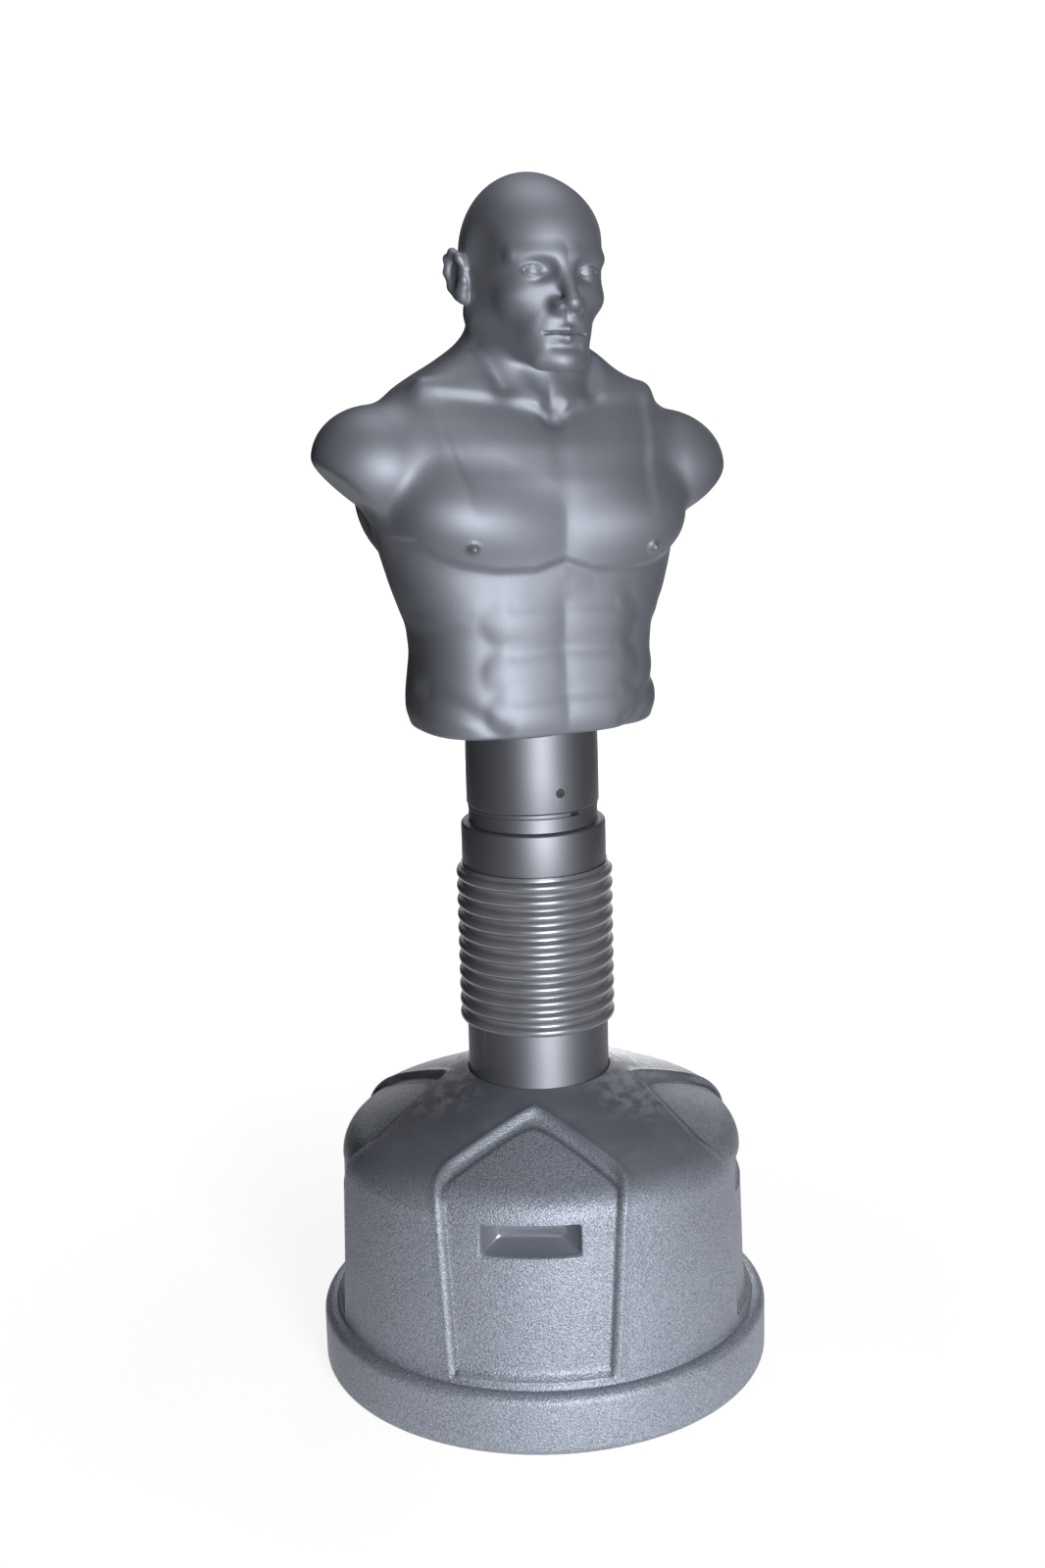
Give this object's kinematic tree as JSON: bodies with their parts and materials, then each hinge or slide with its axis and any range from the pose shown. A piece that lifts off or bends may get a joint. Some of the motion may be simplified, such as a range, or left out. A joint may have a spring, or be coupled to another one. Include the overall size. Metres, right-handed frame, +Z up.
{
  "type": "boxing dummy",
  "caption": "Free-standing boxing dummy: a soft grey bust on a height post, a sprung column in a ribbed sleeve and a fillable round tank.",
  "frame": {"origin": "middle of the underside, on the floor the suction cups stand on, on the column's axis", "axes": "+Z up along the column, -Y out of the tank's front panel, +X to the right of someone facing that panel; the bust is turned 27.5 degrees from -Y towards +X"},
  "size_m": [0.559, 0.559, 1.4462],
  "materials": {
    "moulded_tank": "pebbled grey moulded plastic with a metallic sheen",
    "soft_skin": "satin grey soft skin",
    "grey_tube": "satin grey tube",
    "sleeve_rubber": "glossy grey ribbed rubber",
    "black_rubber": "matt black rubber",
    "plated_steel": "zinc-plated steel",
    "foam": "dense yellowish foam",
    "cap_plastic": "black moulded plastic"
  },
  "bodies": {
    "base": {"base_tank": "moulded_tank", "suction_cup_1": "black_rubber", "suction_cup_2": "black_rubber", "suction_cup_3": "black_rubber", "suction_cup_4": "black_rubber", "suction_cup_5": "black_rubber", "suction_cup_6": "black_rubber", "lower_tube": "grey_tube", "lower_spring_plate": "plated_steel", "lower_plate_screw_1": "plated_steel", "lower_plate_screw_2": "plated_steel", "lower_plate_screw_3": "plated_steel", "lower_plate_screw_4": "plated_steel"},
    "filler_lift": {"filler_gasket": "black_rubber"},
    "filler_turn": {"filler_cap": "cap_plastic"},
    "spring_middle": {"coil_spring": "plated_steel", "ribbed_sleeve": "sleeve_rubber"},
    "collar": {"upper_collar": "grey_tube", "upper_spring_plate": "plated_steel", "slip_washer": "cap_plastic", "collar_screw_1": "plated_steel", "collar_screw_2": "plated_steel", "collar_screw_3": "plated_steel", "collar_screw_4": "plated_steel"},
    "post": {"height_post": "grey_tube", "split_stop_ring": "grey_tube"},
    "bust": {"outer_tube": "grey_tube", "tube_end_cap": "cap_plastic", "bust_skin": "soft_skin", "foam_core": "foam", "seat_plate": "plated_steel", "seat_screw_1": "plated_steel", "seat_screw_2": "plated_steel", "seat_screw_3": "plated_steel", "seat_screw_4": "plated_steel"},
    "clamp_slide": {"clamp_tip": "cap_plastic"},
    "clamp_turn": {"clamp_screw": "plated_steel"}
  },
  "joints": [
    {"name": "lean_sideways", "type": "hinge", "parent": "base", "child": "spring_middle", "pos_m": [0, 0, 0.53], "axis": [0, 1, 0], "range_deg": [-20, 20], "stiffness_Nm_per_rad": 450, "deforming": ["coil_spring", "ribbed_sleeve"]},
    {"name": "lean_back_and_forth", "type": "hinge", "parent": "spring_middle", "child": "collar", "pos_m": [0, 0, 0.57], "axis": [1, 0, 0], "range_deg": [-20, 20], "stiffness_Nm_per_rad": 450, "deforming": ["coil_spring", "ribbed_sleeve"]},
    {"name": "bust_turn", "type": "hinge", "parent": "collar", "child": "post", "pos_m": [0, 0, 0.64], "axis": [0, 0, 1], "continuous": true},
    {"name": "height_slide", "type": "slide", "parent": "post", "child": "bust", "axis": [0, 0, 1], "range_m": [0, 0.2]},
    {"name": "clamp_out", "type": "slide", "parent": "bust", "child": "clamp_slide", "axis": [0.4617, -0.887, 0], "range_m": [0, 0.006]},
    {"name": "clamp_screw_turn", "type": "hinge", "parent": "clamp_slide", "child": "clamp_turn", "pos_m": [0, 0, 0.744], "axis": [0.4617, -0.887, 0], "range_deg": [0, 1440]},
    {"name": "cap_lift", "type": "slide", "parent": "base", "child": "filler_lift", "axis": [0, 0, 1], "range_m": [0, 0.0139]},
    {"name": "cap_turn", "type": "hinge", "parent": "filler_lift", "child": "filler_turn", "pos_m": [0, 0.16, 0.36], "axis": [0, 0, 1], "range_deg": [0, 1080]}
  ],
  "couplings": [
    {"joint": "clamp_screw_turn", "follows": "clamp_out", "rad_per_m": 4188.8},
    {"joint": "cap_lift", "follows": "cap_turn", "m_per_rad": 0.00073211}
  ]
}
